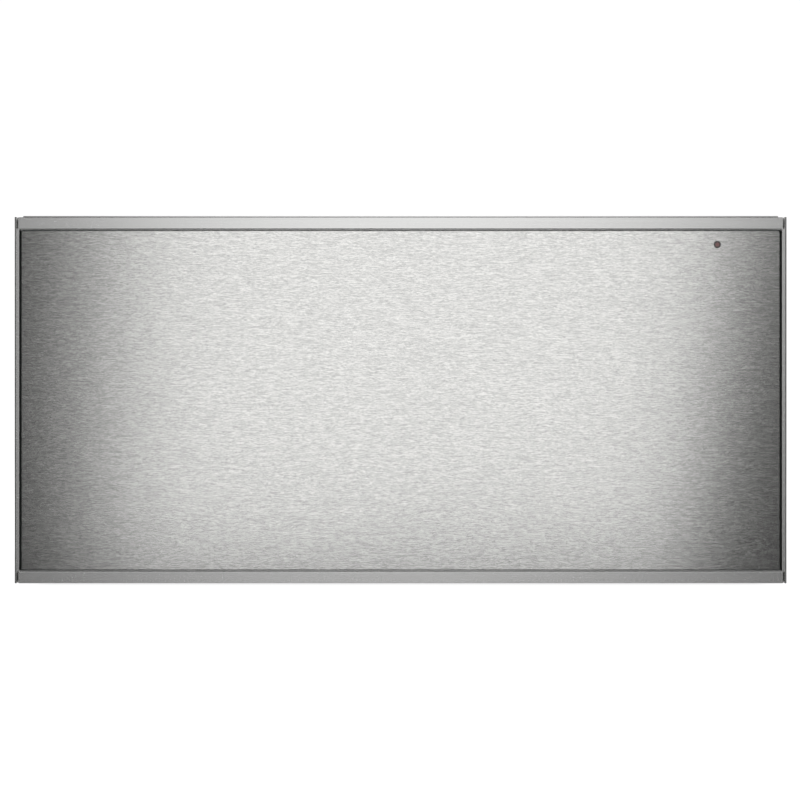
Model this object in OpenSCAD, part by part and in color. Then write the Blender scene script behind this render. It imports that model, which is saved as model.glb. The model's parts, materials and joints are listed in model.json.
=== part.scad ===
// Built-in warming drawer for a 60 cm kitchen niche.
// X to the right, Y to the back, Z up. The origin is on the floor of the appliance, under the
// middle of its bounding box. Inside the modules Y is counted from the foremost face of the front.

/* [Front] */
// Width of the whole front
front_w = 590; // [540:1:640]
// Height of the whole front, without the lip on the top rail
front_h = 280; // [270:1:310]
// Thickness of the front from the rail face to the back plate
front_t = 22; // [20:0.5:26]
// Height of the front's lower edge above the appliance's floor
front_lift = 2; // [1:0.5:5]
// Height of the top and bottom rails
rail_h = 9; // [7:0.5:14]
// Wall of the rail and side profile extrusions
profile_t = 1.5; // [1.2:0.1:2]
// Open joint between a rail and the pane
rail_gap = 1; // [0.6:0.1:2]
// Width of the side profile's face
lip_w = 3.6; // [2.6:0.1:6]
// Bevel on the outer front edge of a side profile
profile_bevel = 1.1; // [0.4:0.1:1.4]
// Open joint between a side profile and the pane
side_gap = 0.8; // [0.5:0.1:2.5]
// Height of the thin lip that stands on the top rail, behind its front edge
top_lip_h = 0.9; // [0.4:0.1:1.5]
// Thickness of the glass pane
glass_t = 4; // [3:0.5:5]
// Thickness of the brushed steel sheet behind the glass
face_sheet_t = 0.8; // [0.6:0.1:1.2]
// How far the pane lies behind the rail faces
pane_setback = 0.6; // [0.2:0.1:1.2]

/* [Indicator light] */
// Distance of the light from the front's right edge
light_inset = 52.5; // [30:0.5:100]
// Distance of the light from the front's top edge
light_drop = 20.8; // [18:0.1:30]
// Diameter of the light's dark ring
light_ring_d = 5.5; // [4.5:0.1:8]
// Diameter of the light's lens
light_lens_d = 3.3; // [2.5:0.1:4]

/* [Housing] */
// Width of the housing behind the front
housing_w = 552; // [540:1:556]
// Height of the housing
housing_h = 276; // [272:1:284]
// Depth of the housing from the cabinet's face to its rear panel
housing_d = 486; // [480:1:520]
// Thickness of the housing's steel sheets
sheet_t = 1; // [0.8:0.1:1.5]
// Depth of the collar between the front and the mounting flanges
collar_t = 20.5; // [16:0.5:26]
// Running gap between the closed front and the collar
close_gap = 3; // [2.5:0.5:5]
// Thickness of the mounting flanges
flange_t = 1.5; // [1.2:0.1:2.5]
// Width of a mounting flange beyond the housing's side
flange_w = 18; // [16:0.5:20]
// Diameter of the holes for the cabinet screws
mount_hole_d = 4.5; // [3.5:0.1:5]
// Distance between the upper and the lower cabinet screw
mount_pitch = 160; // [120:5:170]
// Clear height under the closed drawer's chassis
chassis_lift = 20; // [20:0.5:24]
// Height of the underside of the ceiling liner
ceiling_z = 240; // [238:1:242]

/* [Drawer] */
// Depth of the drawer chassis
chassis_d = 430; // [425:1:432]
// Height of the chassis side walls
chassis_wall_h = 194; // [185:1:194]
// Gap between the chassis wall and the liner wall
wall_gap = 5.3; // [4.5:0.1:8]
// Thickness of the liner's steel
liner_t = 0.8; // [0.6:0.1:1]
// Depth of the service space between the front and the liner
service_d = 30; // [29:0.5:34]
// Thickness of the insulation under the liner
base_insulation_t = 20; // [14:0.5:22]
// Thickness of the heating mat
mat_t = 3; // [2:0.5:4]
// Thickness of the heated glass plate
plate_t = 4; // [3:0.5:5]

/* [Runners] */
// How far the drawer pulls out
travel = 400; // [300:5:400]
// Length of the fixed and of the drawer member
runner_len = 400; // [390:1:402]
// Depth of a runner from the housing wall to the drawer wall
runner_t = 12.7; // [12.7:0.1:13.5]
// Height of a fixed runner member
runner_h = 45.2; // [45.2:0.1:48]
// Height of the runner's middle above the floor
runner_z = 120; // [70:1:170]
// Diameter of the runner balls
ball_d = 3.8; // [3.4:0.1:3.8]
// Spacing of the balls in a cage
ball_pitch = 18; // [14:0.5:30]

/* [Controls] */
// Distance of the selector knob from the drawer's right wall
knob_inset = 47.3; // [34:0.1:80]
// Diameter of the selector knob
knob_d = 24; // [18:0.5:26]
// Height of the selector knob
knob_h = 12; // [10:0.5:14]
// Diameter of the selector shaft
knob_shaft_d = 6; // [5:0.5:7]

/* [Fan and heater] */
// Diameter of the fan impeller
fan_d = 110; // [90:1:116]
// Depth of the fan blades
fan_blade_d = 20; // [16:0.5:22]
// Number of fan blades
fan_blades = 24; // [12:1:32]
// Diameter of the fan shaft
fan_shaft_d = 5; // [4:0.5:6]
// Diameter of the ring heater's middle line
heater_d = 136; // [130:1:142]
// Diameter of the ring heater's tube
heater_tube_d = 6.4; // [5:0.1:8]
// Height of the fan axis above the floor
fan_z = 120; // [112:1:130]

/* [Push latch] */
// Diameter of the latch plunger
plunger_d = 7.9; // [6:0.1:8]
// How far the closed drawer can be pushed in to release it
push_in = 3; // [2:0.5:4]
// Height of the plunger's axis above the floor
latch_z = 10; // [9:0.5:11]

/* [Power box] */
// Width of the box that holds the power board
box_w = 130; // [100:1:160]
// Height of the box
box_h = 83; // [50:1:110]
// Wall of the box
box_t = 1.6; // [1.2:0.1:2.5]
// Diameter of the hole that the mains lead goes in by
grommet_d = 20; // [16:0.5:26]

/* [Hidden] */
$fn = 64;
e = 0.01;
// Clearances
slack = 0.3;
run_fit = 0.05;
// Depths, counted from the face of the front
collar_y = front_t + close_gap;
body_y = collar_y + collar_t;
cabinet_y = body_y + flange_t;
rear_y = cabinet_y + housing_d;
rear_head_h = 2;
total_d = rear_y + rear_head_h;
rear_in = rear_y - sheet_t;
// The front
half_w = front_w / 2;
front_top = front_lift + front_h;
front_mid = front_lift + front_h / 2;
pane_w = front_w - 2 * (lip_w + side_gap);
pane_h = front_h - 2 * (rail_h + rail_gap);
glass_y = pane_setback;
face_y = glass_y + glass_t;
carrier_y = face_y + face_sheet_t;
carrier_t = 1;
carrier_edge = 0.5;
carrier_w = pane_w - 2 * carrier_edge;
carrier_h = pane_h - 2 * carrier_edge;
carrier_lip = 14;
rail_t = front_t - 2;
rail_end = 2.9;
top_lip_inset = 6.6;
rail_foot_y = carrier_y + profile_t;
light_x = half_w - light_inset;
light_z = front_top - light_drop;
screw_d = 3.2;
screw_hole_d = 3.4;
// The housing
side_x = housing_w / 2 - sheet_t;
flange_x = housing_w / 2;
mount_x = flange_x + flange_w * 0.72;
mount_leg = 40;
collar_wall = 1.2;
collar_side_x = side_x + 8;
collar_low = 4;
sill_z = chassis_lift - 4;
collar_top = housing_h + 2;
fold = 12;
rear_screw_x = side_x - fold / 2;
rear_screw_z = [for (i = [0:3]) 30 + i * (housing_h - 54) / 3];
// The drawer
chassis_x = side_x - runner_t;
chassis_top = chassis_lift + chassis_wall_h;
chassis_end = front_t + chassis_d;
liner_x = chassis_x - sheet_t - wall_gap;
liner_y = front_t + service_d;
liner_end = chassis_end - sheet_t - 2;
liner_z = chassis_lift + sheet_t + base_insulation_t + mat_t;
rim_z = chassis_top;
ear_w = 16;
ear_x = chassis_x - 9;
ear_z = [for (i = [0:3]) chassis_lift + 22 + i * (chassis_wall_h - 34) / 3];
plate_margin = 6;
panel_t = 2;
panel_z = rim_z + liner_t;
panel_end = liner_y + 2;
rib_pitch = chassis_x / 4.4;
knob_x = chassis_x - knob_inset;
knob_y = front_t + 15;
switch_w = 34;
switch_d = 26;
switch_h = 30;
bush_h = 2;
bush_d = 10;
// The runners
runner_y = body_y + 4.5;
fixed_web = 1.3;
mid_web = 1.3;
slide_web = 1.3;
track_gap = 0.3;
outer_ball_u = 6;
inner_ball_u = 8;
fixed_flange_z = runner_h / 2;
outer_ball_z = fixed_flange_z - fixed_web - track_gap - ball_d / 2;
mid_z = outer_ball_z - ball_d / 2 - track_gap;
mid_t = 1.5;
inner_ball_z = mid_z - mid_t - track_gap - ball_d / 2;
slide_z = inner_ball_z - ball_d / 2 - track_gap;
mid_u = 2.8;
cage_t = 0.8;
mid_len = runner_len - 10;
fixed_hole_inset = 30;
mid_hole_inset = 60;
stop_w = 6;
cage_len = runner_len - travel / 2 - 16;
outer_cage_y = runner_y + travel / 4 + (mid_len - travel / 2 - cage_len) / 2;
inner_cage_y = outer_cage_y;
// The fan compartment
baffle_y = chassis_end + 6;
fan_y = baffle_y + 8;
bracket_y = fan_y + fan_blade_d + 9;
heater_gap = 10;
bracket_half = heater_d / 2 + heater_gap;
bracket_t = 1.5;
motor_y = bracket_y + bracket_t;
stack_w = 62;
stack_h = 54;
stack_t = 18;
hub_d = 16;
cup_d = 26;
boss_d = 14;
motor_feet = 5;
coil_half = 17;
coil_h = 23;
window_w = 3;
vane_t = 0.8;
heater_leg_x = 10;
heater_bush_d = heater_tube_d + 3;
heater_y = fan_y + fan_blade_d / 2;
heater_leg_z = sqrt(pow(heater_d / 2, 2) - pow(heater_leg_x, 2));
disc_d = 17;
disc_h = 9;
tab_w = 6;
tab_t = 0.8;
tab_l = 7;
// The power box, the terminal block and the grommet
box_x = [-side_x + 25, -side_x + 25 + box_w];
box_y = [baffle_y + 14, rear_in - 3];
box_z = [sheet_t, sheet_t + box_h];
grommet_x = side_x - 110;
grommet_z = 40;
// Beads: shallow grooves pressed into the sheets to stiffen them
bead_r = 6;
bead_depth = 2;
// The latch
latch_bore_d = plunger_d + 2 * run_fit;
latch_w = 22;
latch_h = 15;
latch_l = 62;
striker_t = 1.5;
plunger_tip = front_t + striker_t + slack;
plunger_l = 50;

// ---- Helpers ---------------------------------------------------------------------------------

// Moves what was drawn from the front's face into the part's frame
module place() {
    translate([0, -total_d / 2, 0]) children();
}

// A block between two limits on each axis
module slab(x, y, z) {
    translate([x[0], y[0], z[0]]) cube([x[1] - x[0], y[1] - y[0], z[1] - z[0]]);
}

// A rod along Y
module rod_y(x, z, d, y) {
    translate([x, y[1], z]) rotate([90, 0, 0]) cylinder(d = d, h = y[1] - y[0]);
}

// A rod along X
module rod_x(y, z, d, x) {
    translate([x[0], y, z]) rotate([0, 90, 0]) cylinder(d = d, h = x[1] - x[0]);
}

// A rod along Z
module rod_z(x, y, d, z) {
    translate([x, y, z[0]]) cylinder(d = d, h = z[1] - z[0]);
}

// Runs an X-Z profile along Y
module run_y(y) {
    translate([0, y[1], 0]) rotate([90, 0, 0]) linear_extrude(y[1] - y[0]) children();
}

// Runs a Y-Z profile along X
module run_x(x) {
    translate([x[0], 0, 0]) rotate([90, 0, 90]) linear_extrude(x[1] - x[0]) children();
}

// The piece and its mirror image across the middle
module both() {
    children();
    mirror([1, 0, 0]) children();
}

// A slot with round ends, lying along X, cut through along Y
module slot_y(x, z, len, w, y) {
    run_y(y) {
        translate([x - len / 2, z - w / 2]) square([len, w]);
        translate([x - len / 2, z]) circle(d = w);
        translate([x + len / 2, z]) circle(d = w);
    }
}

// A flat rectangle between two limits
module area(x, z) {
    translate([x[0], z[0]]) square([x[1] - x[0], z[1] - z[0]]);
}

// A rectangle with round corners
module round_area(x, z, r) {
    area([x[0] + r, x[1] - r], z);
    area(x, [z[0] + r, z[1] - r]);
    for (cx = [x[0] + r, x[1] - r], cz = [z[0] + r, z[1] - r])
        translate([cx, cz]) circle(r = r);
}

// A bead pressed into a sheet that lies in X and Y with its upper face at z. It runs along Y and
// dips below the sheet. tool is the pressed-in form, and skin the metal round it.
module bead_tool(x, y, z, r) {
    translate([0, 0, z - bead_depth + bead_r]) {
        rod_y(x, 0, 2 * r, y);
        for (end = y) translate([x, end, 0]) sphere(r = r);
    }
}

// A sheet in X and Y, upper face at z, with a bead at each of the places in xs
module beaded_sheet(x, y, z, xs, bead_y) {
    difference() {
        union() {
            slab(x, y, [z - sheet_t, z]);
            intersection() {
                for (bx = xs) bead_tool(bx, bead_y, z, bead_r + sheet_t);
                slab(x, y, [z - 2 * bead_depth - sheet_t, z - sheet_t / 2]);
            }
        }
        for (bx = xs) bead_tool(bx, bead_y, z, bead_r);
    }
}

// A pan-head screw whose head starts at y and whose thread runs towards the front
module screw_to_front(x, z, y, head_h = rear_head_h, len = 6) {
    translate([x, y, z]) rotate([-90, 0, 0]) difference() {
        cylinder(d = 7, h = head_h);
        translate([-2.5, -0.5, head_h - 1]) cube([5, 1, 1 + e]);
        translate([-0.5, -2.5, head_h - 1]) cube([1, 5, 1 + e]);
    }
    rod_y(x, z, screw_d, [y - len, y + e]);
}

// ---- Front -----------------------------------------------------------------------------------

module front_glass() {
    place() color([0.75, 0.8, 0.8, 0.35])
        run_y([glass_y, face_y])
            round_area([-pane_w / 2, pane_w / 2], [front_mid - pane_h / 2, front_mid + pane_h / 2], 1);
}

module front_steel_sheet() {
    place() color([0.8, 0.8, 0.79]) difference() {
        run_y([face_y, carrier_y])
            round_area([-pane_w / 2, pane_w / 2], [front_mid - pane_h / 2, front_mid + pane_h / 2], 1);
        rod_y(light_x, light_z, light_ring_d, [face_y - 1, carrier_y + 1]);
    }
}

// Right-hand profile: an outer wall, a face lip between the rails, a foot on the carrier and a
// back flange. The lip and the foot stop where the rails pass.
module side_profile() {
    lip_z = [front_lift + rail_h, front_top - rail_h];
    foot_z = [front_mid - carrier_h / 2, front_mid + carrier_h / 2];
    foot_y = [carrier_y + profile_t, rail_t];
    difference() {
        slab([half_w - profile_t, half_w], [0, front_t], [front_lift, front_top]);
        translate([half_w, 0, front_lift - 1]) rotate([0, 0, 45])
            cube([sqrt(2) * profile_bevel, sqrt(2) * profile_bevel, 4 * front_h], center = true);
    }
    slab([half_w - lip_w, half_w - profile_t + e], [0, profile_t], lip_z);
    slab([carrier_w / 2, carrier_w / 2 + profile_t], foot_y, foot_z);
    slab([carrier_w / 2 + e, half_w - e], [front_t / 2 - profile_t, front_t / 2], foot_z);
    slab([carrier_w / 2, half_w - e], [front_t - profile_t, front_t], [front_lift, front_top]);
}

module right_side_profile() {
    place() color([0.62, 0.63, 0.64]) side_profile();
}

module left_side_profile() {
    place() color([0.62, 0.63, 0.64]) mirror([1, 0, 0]) side_profile();
}

// The rail's cross-section in Y and Z: a hollow bar with a rounded face, standing on the carrier
module rail_section(bottom, top) {
    nose = 0.35;
    difference() {
        union() {
            area([0 + nose, rail_t], [top - rail_h, top]);
            area([0, rail_t], [top - rail_h + nose, top - nose]);
            for (z = [top - rail_h + nose, top - nose]) translate([nose, z]) circle(r = nose);
            area([rail_foot_y, rail_t], [bottom, top - rail_h + e]);
        }
        area([profile_t, rail_t - profile_t], [top - rail_h - 1, top - profile_t]);
    }
    area([rail_foot_y, rail_t], [bottom, bottom + profile_t]);
}

module top_rail() {
    place() color([0.7, 0.71, 0.72]) {
        run_x([-half_w + rail_end, half_w - rail_end])
            rail_section(front_mid + carrier_h / 2, front_top);
        slab([-half_w + top_lip_inset, half_w - top_lip_inset], [profile_t, 2 * profile_t],
             [front_top - e, front_top + top_lip_h]);
    }
}

module bottom_rail() {
    place() color([0.7, 0.71, 0.72])
        translate([0, 0, front_mid]) mirror([0, 0, 1]) translate([0, 0, -front_mid])
            run_x([-half_w + rail_end, half_w - rail_end])
                rail_section(front_mid + carrier_h / 2, front_top);
}

// A folded pan that carries the glued face and closes the front at the back
module front_carrier() {
    x = carrier_w / 2;
    z = [front_mid - carrier_h / 2, front_mid + carrier_h / 2];
    place() color([0.66, 0.67, 0.68]) difference() {
        slab([-x, x], [carrier_y, front_t], z);
        slab([-x + carrier_t, x - carrier_t], [carrier_y + carrier_t, front_t - carrier_t],
             [z[0] + carrier_t, z[1] - carrier_t]);
        slab([-x + carrier_lip, x - carrier_lip], [carrier_y - 1, carrier_y + carrier_t + e],
             [z[0] + carrier_lip, z[1] - carrier_lip]);
        rod_y(light_x, light_z, light_ring_d + 2, [carrier_y - 1, carrier_y + carrier_t + e]);
        ear_holes([front_t - carrier_t - 1, front_t + 1]);
    }
}

module front_insulation() {
    x = carrier_w / 2 - carrier_t - slack;
    z = [front_mid - carrier_h / 2 + carrier_t + slack, front_mid + carrier_h / 2 - carrier_t - slack];
    place() color([0.86, 0.83, 0.74]) difference() {
        slab([-x, x], [carrier_y + carrier_t + slack, front_t - carrier_t], z);
        slab([light_x - 18, light_x + 18], [carrier_y, front_t - carrier_t - 2], [light_z - 10, z[1] + 1]);
        ear_holes([front_t - carrier_t - 5, front_t]);
    }
}

// A light guide whose flat end stands behind the glass
module indicator_lens() {
    place() color([0.45, 0.12, 0.1]) {
        rod_y(light_x, light_z, light_lens_d, [face_y, carrier_y + 4]);
        rod_y(light_x, light_z, light_lens_d + 2, [carrier_y + 2.2, carrier_y + 4]);
    }
}

module indicator_bezel() {
    place() color([0.12, 0.07, 0.06]) difference() {
        union() {
            rod_y(light_x, light_z, light_ring_d, [face_y, carrier_y + e]);
            rod_y(light_x, light_z, light_ring_d + 1.6, [carrier_y, carrier_y + carrier_t]);
        }
        rod_y(light_x, light_z, light_lens_d, [face_y - 1, carrier_y + carrier_t + 1]);
    }
}

// A small board with its lamp behind the light guide and a plug housing
module indicator_board() {
    y = carrier_y + 7;
    place() color([0.1, 0.35, 0.2]) {
        slab([light_x - 15, light_x + 15], [y, y + 1.6], [light_z - 7, light_z + 7]);
        rod_y(light_x, light_z, 3, [y - 3 + slack, y + e]);
        slab([light_x - 13, light_x - 5], [y + 1.6 - e, y + 6], [light_z - 5, light_z + 5]);
        for (z = [-5, 5])
            rod_y(light_x + 11, light_z + z, 4, [y + 1.6 - e, front_t - carrier_t - 2]);
    }
}

// Four silicone buffers that land on the collar
module front_buffers() {
    x = (side_x + collar_side_x) / 2;
    place() color([0.2, 0.2, 0.2])
        for (sx = [-x, x], z = [front_lift + 30, front_top - 30]) {
            rod_y(sx, z, 6.5, [front_t, front_t + 1.5]);
            rod_y(sx, z, 5, [front_t + 1.5 - e, collar_y - slack]);
        }
}

module latch_striker() {
    place() color([0.72, 0.73, 0.74]) difference() {
        slab([-20, 20], [front_t, front_t + striker_t], [front_lift + 1, chassis_lift - 0.5]);
        for (x = [-15, 15])
            rod_y(x, front_lift + 13.5, screw_hole_d, [front_t - 1, front_t + striker_t + 1]);
    }
}

// ---- Drawer ----------------------------------------------------------------------------------

// Rows of air slots, as many as fit the width
module air_slots(half, z0, rows, y) {
    pitch = 46;
    n = floor(half / pitch) - 1;
    for (i = [-n:n], r = [0:rows - 1]) slot_y(i * pitch, z0 + r * 12, 26, 4, y);
}

// The holes that the screws between the chassis ears and the front go through
module ear_holes(y) {
    both() for (z = ear_z) rod_y(ear_x, z, screw_hole_d, y);
}

// A galvanised tray: floor, two walls, a rear wall and two ears that bolt to the front
module drawer_chassis() {
    x = chassis_x;
    place() color([0.68, 0.69, 0.7]) difference() {
        union() {
            slab([-x, x], [front_t, chassis_end], [chassis_lift, chassis_lift + sheet_t]);
            both() slab([x - sheet_t, x], [front_t, chassis_end], [chassis_lift, chassis_top]);
            slab([-x, x], [chassis_end - sheet_t, chassis_end], [chassis_lift, chassis_top]);
            both() slab([x - ear_w, x], [front_t, front_t + sheet_t], [chassis_lift, chassis_top]);
        }
        air_slots(x, chassis_top - 62, 3, [chassis_end - sheet_t - 1, chassis_end + 1]);
        ear_holes([front_t - 1, front_t + sheet_t + 1]);
        for (i = [-1, 1]) translate([i * 130, (liner_y + liner_end) / 2, chassis_lift - 1])
            cylinder(d = 40, h = sheet_t + 2);
    }
}

// The stainless pan that holds the crockery: a floor, a front wall and two side walls. Its rim
// lies on the chassis walls, and its back is open for the grille.
module drawer_liner() {
    x = liner_x;
    top = rim_z + liner_t;
    place() color([0.82, 0.82, 0.81]) difference() {
        union() {
            slab([-x, x], [liner_y, liner_end], [liner_z, top]);
            slab([-chassis_x, chassis_x], [liner_y - 5, liner_end], [rim_z, top]);
        }
        slab([-x + liner_t, x - liner_t], [liner_y + liner_t, liner_end + 1], [liner_z + liner_t, top + 1]);
    }
}

// The pan's rear wall, with its rim and the slots that the warm air blows through
module liner_rear_grille() {
    x = liner_x - liner_t;
    place() color([0.82, 0.82, 0.81]) difference() {
        union() {
            slab([-x, x], [liner_end - liner_t, liner_end], [liner_z + liner_t, rim_z]);
            slab([-x, x], [liner_end - liner_t, liner_end + e], [rim_z - e, rim_z + liner_t]);
            slab([-chassis_x, chassis_x], [liner_end, chassis_end], [rim_z, rim_z + liner_t]);
        }
        air_slots(x, chassis_top - 62, 3, [liner_end - liner_t - 1, liner_end + 1]);
    }
}

module heated_glass_plate() {
    x = liner_x - liner_t - plate_margin;
    place() color([0.12, 0.12, 0.13])
        translate([0, 0, liner_z + liner_t]) linear_extrude(plate_t)
            round_area([-x, x], [liner_y + liner_t + plate_margin, liner_end - liner_t - plate_margin], 8);
}

// A silicone mat with its heating wire laid in parallel runs
module heating_mat() {
    x = liner_x - 12;
    y = [liner_y + 12, liner_end - 12];
    runs = 14;
    pitch = (y[1] - y[0] - 30) / (runs - 1);
    wire_h = 0.8;
    place() color([0.65, 0.25, 0.15]) {
        slab([-x, x], y, [liner_z - mat_t + wire_h, liner_z]);
        for (i = [0:runs - 1])
            slab([-x + 15, x - 15], [y[0] + 14 + i * pitch, y[0] + 16 + i * pitch],
                 [liner_z - mat_t, liner_z - mat_t + wire_h + e]);
    }
}

module base_insulation() {
    x = liner_x - 6;
    place() color([0.86, 0.83, 0.74])
        slab([-x, x], [liner_y + 6, liner_end - 6],
             [chassis_lift + sheet_t, chassis_lift + sheet_t + base_insulation_t]);
}

// The strip between the front and the liner, which carries the selector
module control_panel() {
    x = chassis_x;
    place() color([0.16, 0.16, 0.17]) difference() {
        union() {
            translate([0, 0, panel_z]) linear_extrude(panel_t)
                round_area([-x, x], [front_t, panel_end], 2);
            both() slab([x - sheet_t - 3, x - sheet_t], [front_t + sheet_t + slack, liner_y - 6],
                        [panel_z - 12, panel_z + e]);
            for (i = [-3:3])
                slab([i * rib_pitch - 1, i * rib_pitch + 1], [front_t, liner_y - 6],
                     [panel_z - 4, panel_z + e]);
        }
        rod_z(knob_x, knob_y, bush_d, [panel_z - 1, panel_z + panel_t + 1]);
    }
}

module selector_switch() {
    x = [knob_x - switch_w / 2, knob_x + switch_w / 2];
    y = [knob_y - switch_d / 2, knob_y + switch_d / 2];
    place() color([0.85, 0.85, 0.8]) difference() {
        union() {
            slab(x, y, [panel_z - bush_h - switch_h, panel_z - bush_h]);
            rod_z(knob_x, knob_y, bush_d, [panel_z - bush_h - e, panel_z + panel_t - 0.5]);
            rod_z(knob_x, knob_y, bush_d + 6, [panel_z - bush_h - e, panel_z]);
            for (i = [-1:1]) slab([knob_x + i * 9 - 3, knob_x + i * 9 + 3], [knob_y - 0.4, knob_y + 0.4],
                                  [panel_z - bush_h - switch_h - 7, panel_z - bush_h - switch_h + e]);
        }
        rod_z(knob_x, knob_y, knob_shaft_d + 2 * run_fit, [panel_z - bush_h - 10, panel_z + panel_t]);
    }
}

// A knob with a fluted grip, a pointer groove and its shaft
module selector_knob() {
    z = panel_z + panel_t + slack;
    skirt_h = 2;
    flutes = 18;
    grip_r = knob_d / 2 - 1.5;
    groove = [1.2, knob_d / 2 - 1];
    place() color([0.75, 0.75, 0.76]) translate([knob_x, knob_y, 0]) {
        cylinder_at(z, knob_d, skirt_h);
        difference() {
            translate([0, 0, z + skirt_h - e]) linear_extrude(knob_h - skirt_h) difference() {
                circle(r = grip_r);
                for (i = [0:flutes - 1]) rotate(i * 360 / flutes) translate([grip_r, 0]) circle(d = 1.6);
            }
            translate([-groove.x / 2, -groove.y - 2, z + knob_h - 1]) cube([groove.x, groove.y, 2]);
        }
        cylinder_at(panel_z - bush_h - 9.5, knob_shaft_d, z + 1 - (panel_z - bush_h - 9.5));
    }
}

// An upright cylinder whose foot is at z
module cylinder_at(z, d, h) {
    translate([0, 0, z]) cylinder(d = d, h = h);
}

// The thermostat on the outside of the liner's front wall
module limit_thermostat() {
    place() color([0.2, 0.2, 0.2]) disc_thermostat(-60, liner_z + 76, liner_y, -1);
}

module drawer_screws() {
    place() color([0.55, 0.56, 0.57])
        both() for (z = ear_z) screw_to_front(ear_x, z, front_t + sheet_t, rear_head_h, 4);
}

// ---- Runners ---------------------------------------------------------------------------------
// Sections are drawn with U from the housing wall towards the drawer and Z from the runner's middle.

// The upper and the lower half of a section
module mirrored() {
    children();
    mirror([0, 1]) children();
}

// A curled race round a ball: the part of a ring that sx and sz point to, up to reach from the
// ball's middle. It stops short of the cage strip, which runs through the ball's middle.
module race(u, z, t, sx, sz, reach) {
    r = ball_d / 2 + track_gap;
    strip = cage_t / 2 + slack;
    translate([u, z]) scale([sx, sz]) intersection() {
        difference() {
            circle(r = r + t);
            circle(r = r);
        }
        translate([0, strip]) square([reach, r + t - strip]);
    }
}

module fixed_section() {
    r = ball_d / 2 + track_gap;
    area([0, fixed_web], [-fixed_flange_z, fixed_flange_z]);
    mirrored() {
        area([0, outer_ball_u], [outer_ball_z + r, outer_ball_z + r + fixed_web]);
        race(outer_ball_u, outer_ball_z, fixed_web, 1, 1, ball_d);
    }
}

module middle_section() {
    area([mid_u, mid_u + mid_web], [-mid_z, mid_z]);
    mirrored() {
        area([mid_u, inner_ball_u], [mid_z - mid_t, mid_z]);
        race(inner_ball_u, inner_ball_z, mid_t, 1, 1, ball_d);
    }
}

module slide_section() {
    cage_side = mid_u + mid_web + slack + cage_t;
    area([runner_t - slide_web, runner_t], [-slide_z, slide_z]);
    mirrored() {
        area([inner_ball_u, runner_t], [slide_z - slide_web, slide_z]);
        race(inner_ball_u, inner_ball_z, slide_web, -1, -1, inner_ball_u - cage_side - slack);
    }
}

// A cage strip with its two rows of balls
module ball_cage(u, ball_u, ball_z, reach, y) {
    n = floor((cage_len - 12) / ball_pitch);
    first = y + (cage_len - (n - 1) * ball_pitch) / 2;
    pocket = ball_d + 0.2;
    difference() {
        run_y([y, y + cage_len]) {
            area([u, u + cage_t], [-ball_z - cage_t / 2, ball_z + cage_t / 2]);
            mirrored() area([u, reach], [ball_z - cage_t / 2, ball_z + cage_t / 2]);
        }
        for (i = [0:n - 1], s = [-1, 1]) translate([ball_u, first + i * ball_pitch, s * ball_z - 2])
            cylinder(d = pocket, h = 4, $fn = 32);
    }
    for (i = [0:n - 1], s = [-1, 1]) translate([ball_u, first + i * ball_pitch, s * ball_z])
        sphere(d = ball_d, $fn = 32);
}

// Puts a right-hand runner piece, drawn in U and Z, against the right housing wall
module at_right() {
    place() translate([side_x, 0, runner_z]) mirror([1, 0, 0]) children();
}

module at_left() {
    place() translate([-side_x, 0, runner_z]) children();
}

module fixed_member() {
    color([0.72, 0.73, 0.74]) difference() {
        run_y([runner_y, runner_y + runner_len]) fixed_section();
        for (i = [0:3])
            rod_x(runner_y + fixed_hole_inset + i * (runner_len - 2 * fixed_hole_inset) / 3, 0, 5,
                  [-1, fixed_web + 1]);
    }
}

module middle_member() {
    color([0.76, 0.77, 0.78]) difference() {
        run_y([runner_y, runner_y + mid_len]) middle_section();
        for (y = [runner_y + mid_hole_inset, runner_y + mid_len - mid_hole_inset])
            rod_x(y, 0, 8, [mid_u - 1, mid_u + mid_web + 1]);
    }
}

// The rubber blocks that the middle members come to rest against when the drawer is closed
module runner_stops() {
    color([0.12, 0.12, 0.12]) {
        at_left() runner_stop();
        at_right() runner_stop();
    }
}

module runner_stop() {
    half = slide_z - slide_web - 2 * slack;
    slab([fixed_web, mid_u + stop_w], [runner_y + mid_len + slack, runner_y + runner_len - 1],
         [-half, half]);
}

module slide_member() {
    color([0.7, 0.71, 0.72]) difference() {
        run_y([runner_y, runner_y + runner_len]) slide_section();
        for (i = [0:3]) rod_x(runner_y + 20 + i * (runner_len - 40) / 3, 0, 5,
                              [runner_t - slide_web - 1, runner_t + 1]);
    }
}

module outer_cage() {
    color([0.85, 0.7, 0.4])
        ball_cage(fixed_web + slack, outer_ball_u, outer_ball_z, outer_ball_u + 3, outer_cage_y);
}

module inner_cage() {
    color([0.85, 0.7, 0.4])
        ball_cage(mid_u + mid_web + slack, inner_ball_u, inner_ball_z, inner_ball_u + 3, inner_cage_y);
}

module left_runner_outer() { at_left() fixed_member(); }
module right_runner_outer() { at_right() fixed_member(); }
module left_runner_middle() { at_left() middle_member(); }
module right_runner_middle() { at_right() middle_member(); }
module left_runner_inner() { at_left() slide_member(); }
module right_runner_inner() { at_right() slide_member(); }
module left_outer_ball_cage() { at_left() outer_cage(); }
module right_outer_ball_cage() { at_right() outer_cage(); }
module left_inner_ball_cage() { at_left() inner_cage(); }
module right_inner_ball_cage() { at_right() inner_cage(); }

// ---- Housing ---------------------------------------------------------------------------------

// The floor sheet: beads that stand up into the housing, and rows of air holes
module base_pan() {
    x = housing_w / 2;
    bead_x = [for (i = [1:3], s = [-1, 1]) s * i * x / 3.5];
    place() color([0.7, 0.71, 0.72]) difference() {
        mirror([0, 0, 1])
            beaded_sheet([-x, x], [body_y, rear_y], 0, bead_x, [cabinet_y + 40, baffle_y - 30]);
        for (i = [-4:4], y = [cabinet_y + 24, baffle_y - 12])
            translate([i * 50, y, -1]) cylinder(d = 9, h = sheet_t + 2);
    }
}

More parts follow.
